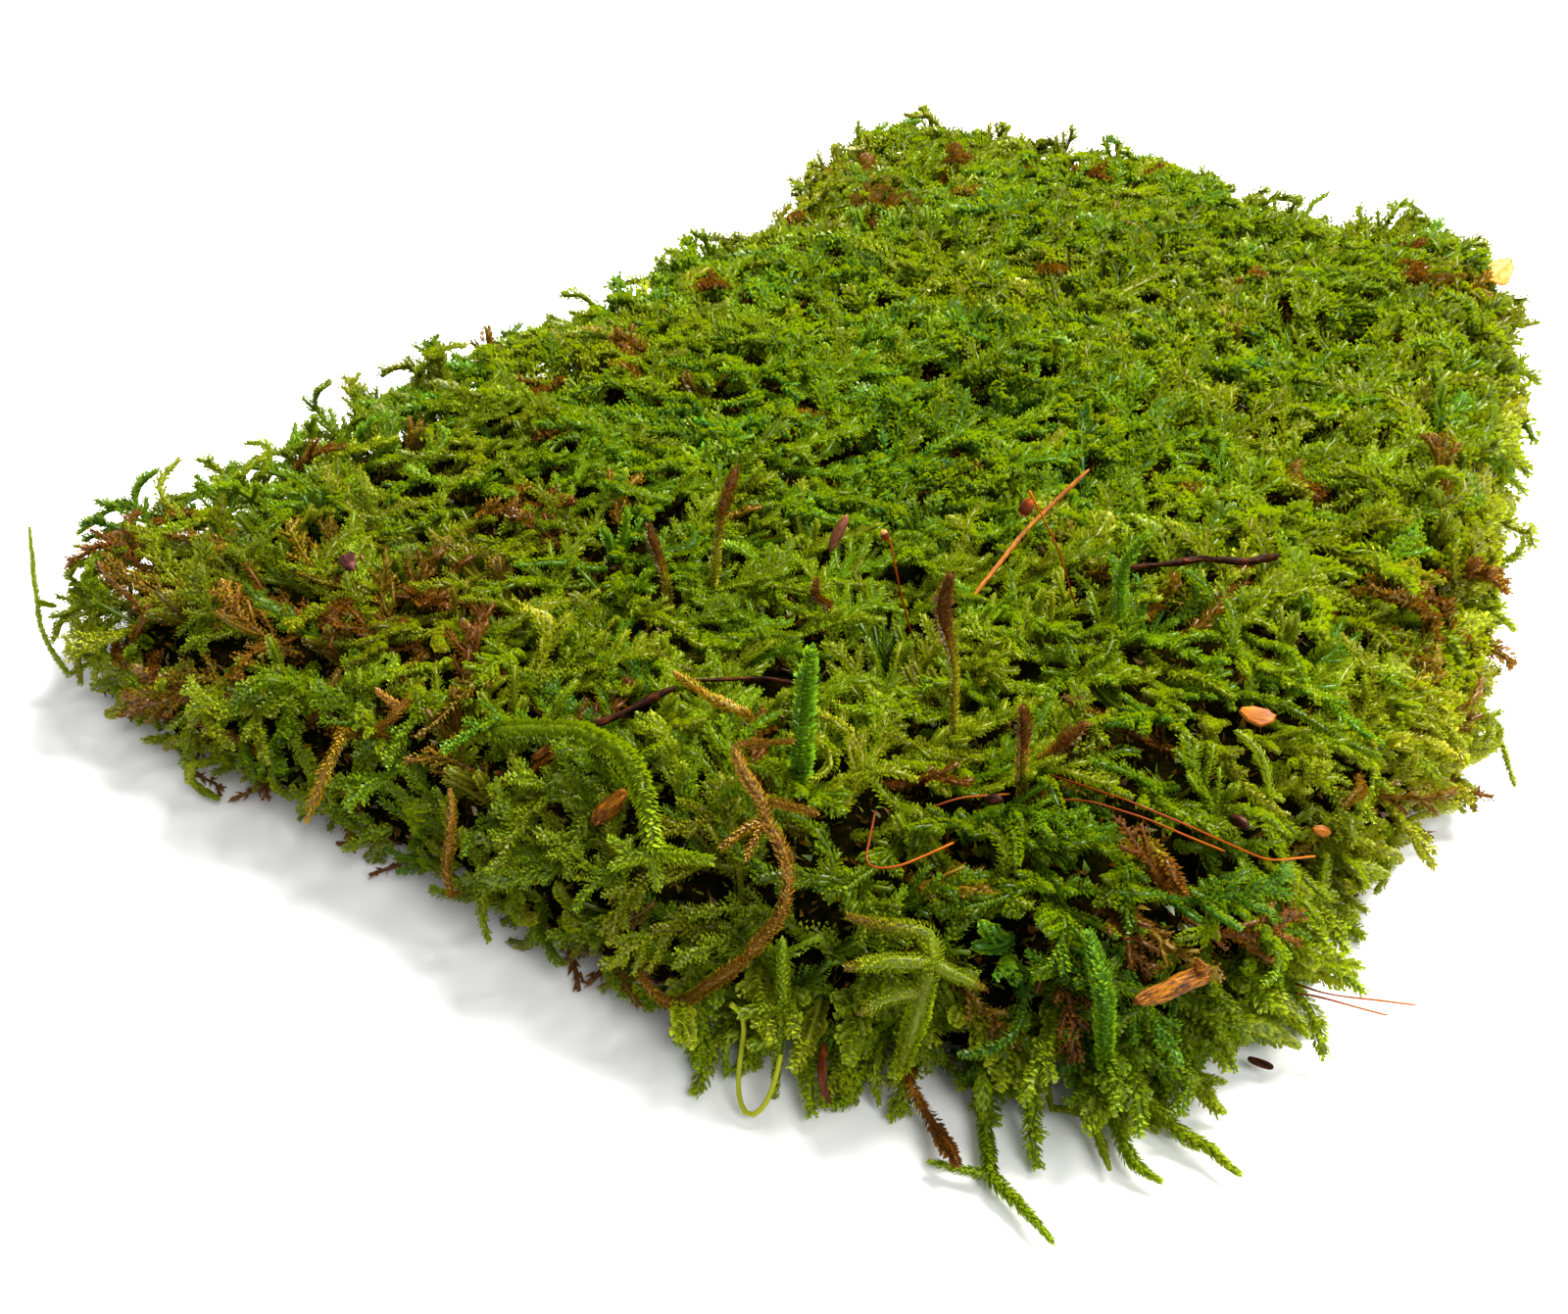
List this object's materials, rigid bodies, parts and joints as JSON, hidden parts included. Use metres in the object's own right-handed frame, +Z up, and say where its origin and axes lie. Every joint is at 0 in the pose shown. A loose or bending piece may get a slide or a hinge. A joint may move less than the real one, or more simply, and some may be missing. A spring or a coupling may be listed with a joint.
{
  "type": "moss clump",
  "caption": "Torn, roughly rectangular sheet of feathery plait moss: flat underside, tufted top, ragged edges, trailing shoots at one corner, with spore stalks, twigs and bud scales on it.",
  "frame": {"origin": "middle of the whole object's footprint, on the flat underside", "axes": "+Z up out of the moss, +Y along the sheet's long side, with the end that has the trailing shoots towards -Y"},
  "size_m": [0.1398, 0.2134, 0.0286],
  "materials": {
    "moss_green": "feathery, damp",
    "shoot_green": "leafy, damp",
    "shoot_withered": "dry, curled leaf",
    "shoot_dead": "dry, matt",
    "twig_bark": "weathered bark and split wood",
    "stalk_straw": "dry, slightly glossy",
    "stalk_red": "smooth, slightly glossy",
    "husk_orange": "papery, slightly glossy",
    "leaf_purple": "papery, matt",
    "leaf_red": "papery, matt",
    "seed_brown": "smooth, satin"
  },
  "bodies": {
    "root": {"bud_scale_orange": "husk_orange", "bud_scale_small": "husk_orange", "bud_spindle_pink": "husk_orange", "dead_shoot_branched": "shoot_dead", "dead_shoot_hanging": "shoot_dead", "dead_shoot_orange": "shoot_dead", "dead_shoot_plaited": "shoot_dead", "dead_shoot_yellow_tip": "shoot_dead", "leaf_fragment_corner": "husk_orange", "leaf_scrap_purple": "leaf_purple", "leaf_scrap_red": "leaf_red", "moss_mat": "moss_green", "needle_dark_corner": "twig_bark", "seed_brown": "seed_brown", "seed_dark": "seed_brown", "seta_curved_red": "stalk_red", "seta_long_left": "stalk_red", "seta_long_lower": "stalk_red", "seta_long_upper": "stalk_red", "seta_nodding": "stalk_red", "seta_right_lower": "stalk_red", "seta_right_upper": "stalk_red", "seta_upright": "stalk_red", "shoot_arc_right": "shoot_green", "shoot_arching_pale": "shoot_green", "shoot_brown_ended": "shoot_withered", "shoot_corner_curved": "shoot_green", "shoot_corner_high": "shoot_green", "shoot_corner_low": "shoot_green", "shoot_front_forked": "shoot_green", "shoot_front_frond": "shoot_green", "shoot_front_hooked": "shoot_green", "shoot_front_long": "shoot_green", "shoot_front_right_high": "shoot_green", "shoot_front_right_low": "shoot_green", "shoot_front_short": "shoot_green", "shoot_left_loop": "shoot_green", "shoot_left_wisp": "shoot_green", "shoot_loop_front": "shoot_green", "shoot_right_branching": "shoot_green", "shoot_right_lobed": "shoot_green", "shoot_stalk_front": "shoot_green", "shoot_upright_curled": "shoot_green", "shoot_upright_green": "shoot_green", "shoot_withered_back": "shoot_withered", "shoot_withered_curled": "shoot_withered", "shoot_withered_dark": "shoot_withered", "shoot_withered_leaning": "shoot_withered", "shoot_withered_stub": "shoot_withered", "shoot_withered_tall": "shoot_withered", "stalk_orange": "stalk_straw", "stem_front_brown": "shoot_withered", "twig_back_dark": "twig_bark", "twig_dark_fine": "twig_bark", "twig_dark_long": "twig_bark", "wood_sliver_far_left": "twig_bark", "wood_sliver_front": "twig_bark", "wood_sliver_left": "twig_bark"}
  },
  "joints": []
}
